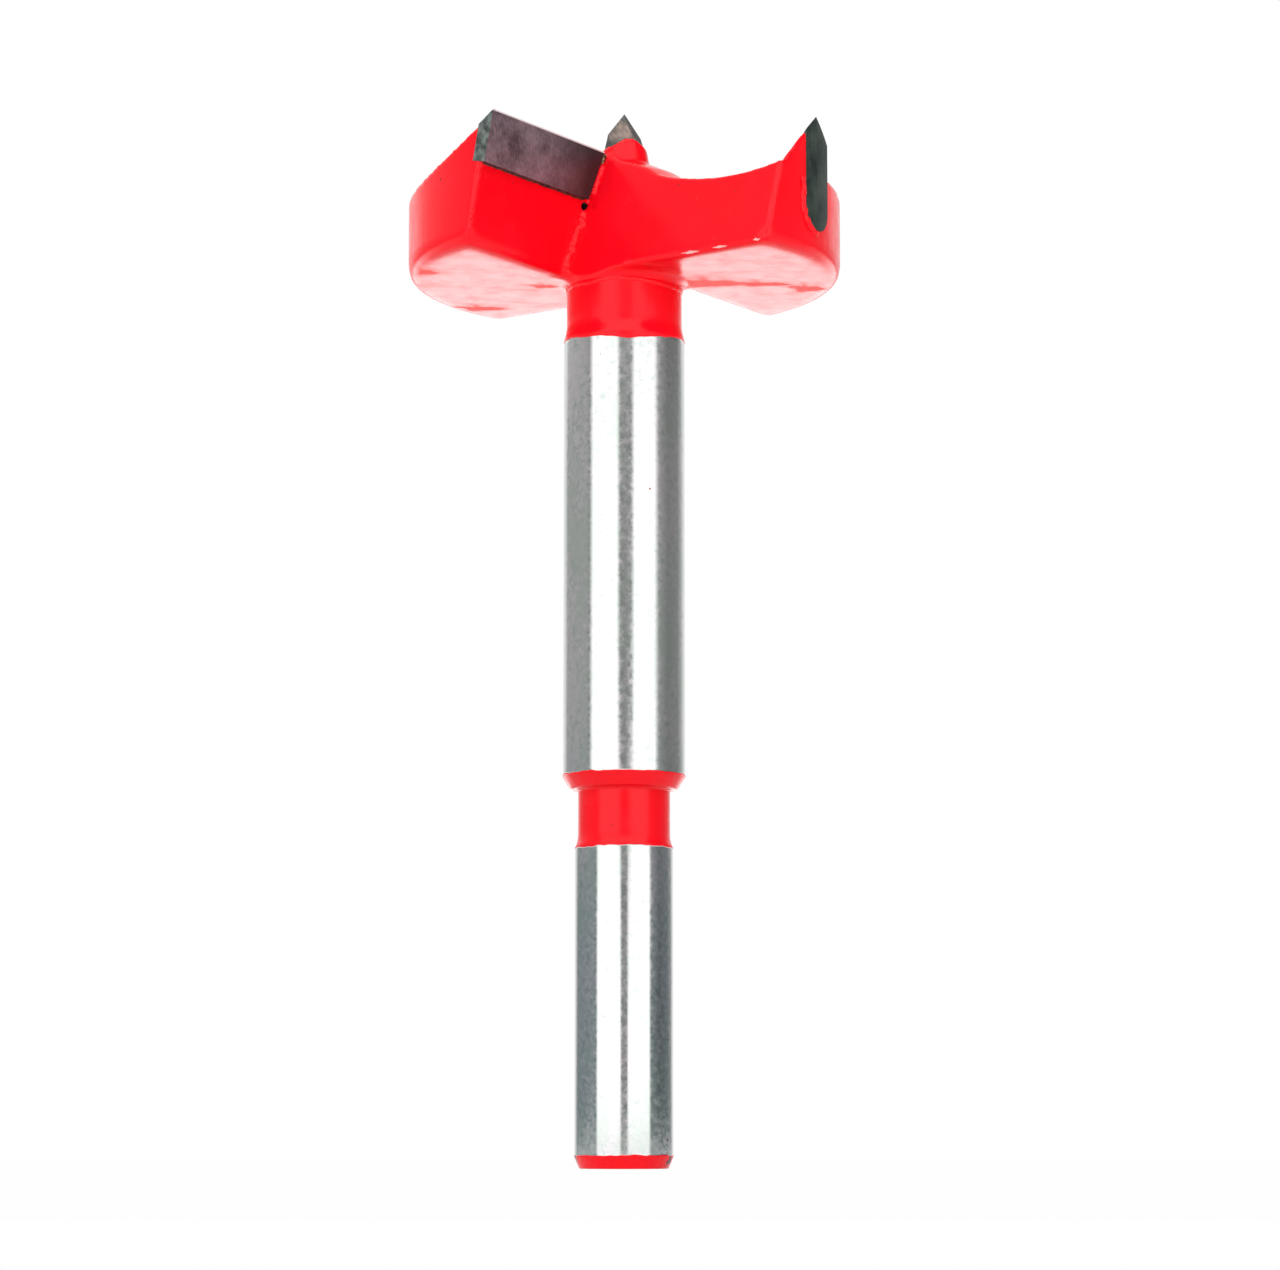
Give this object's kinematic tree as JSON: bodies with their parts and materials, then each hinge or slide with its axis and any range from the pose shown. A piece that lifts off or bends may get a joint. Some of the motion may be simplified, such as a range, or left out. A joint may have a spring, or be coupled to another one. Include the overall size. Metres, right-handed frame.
{
  "type": "forstner bit",
  "caption": "Two-wing carbide-tipped forstner bit with scoring spurs, a centre point, a painted steel head and a round stepped shank for a drill chuck.",
  "frame": {"origin": "centre of the flat end of the shank", "axes": "+Z along the axis from the shank to the centre point; +X along one main cutting edge; +Y in front of that edge, the way it cuts"},
  "size_m": [0.045, 0.045, 0.1095],
  "materials": {
    "painted_steel": "gloss red paint on the head, neck, groove and chamfers; bright ground steel on the shaft and shank",
    "carbide": "ground tungsten carbide"
  },
  "bodies": {
    "root": {"body": "painted_steel", "main_cutter_a": "carbide", "main_cutter_b": "carbide", "spur_a": "carbide", "spur_b": "carbide", "centre_point": "carbide"}
  },
  "joints": []
}
